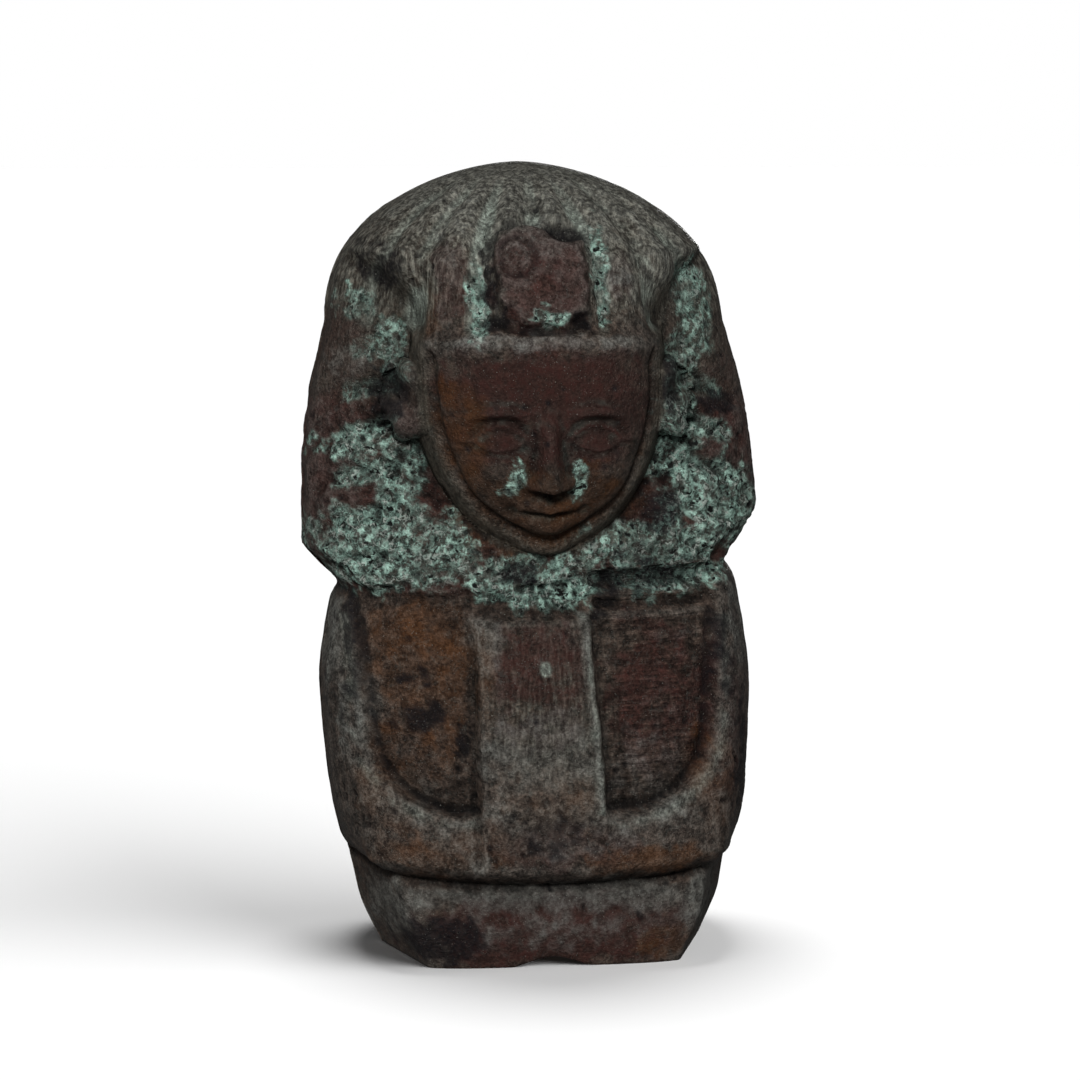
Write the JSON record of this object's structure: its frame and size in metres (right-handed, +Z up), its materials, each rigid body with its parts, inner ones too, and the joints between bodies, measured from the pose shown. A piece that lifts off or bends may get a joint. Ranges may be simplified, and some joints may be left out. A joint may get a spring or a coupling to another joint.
{
  "type": "bronze pharaoh figure",
  "caption": "Small cast bronze bust of a pharaoh: striped royal headcloth with flaring wings, calm face, arms folded over the belly, and a short block of lap with a flat underside.",
  "frame": {"origin": "middle of the figure's bounding box, on the plane of its flat underside", "axes": "+Z up, from the underside to the crown; the face looks along -Y; +X is to the right of a viewer who faces the figure"},
  "size_m": [0.0466, 0.0344, 0.08],
  "materials": {
    "patinated_bronze": "dark red-brown bronze, worn and dull, with grey dust on its edges and pale green crust in its hollows"
  },
  "bodies": {
    "root": {"pharaoh_figure": "patinated_bronze"}
  },
  "joints": []
}
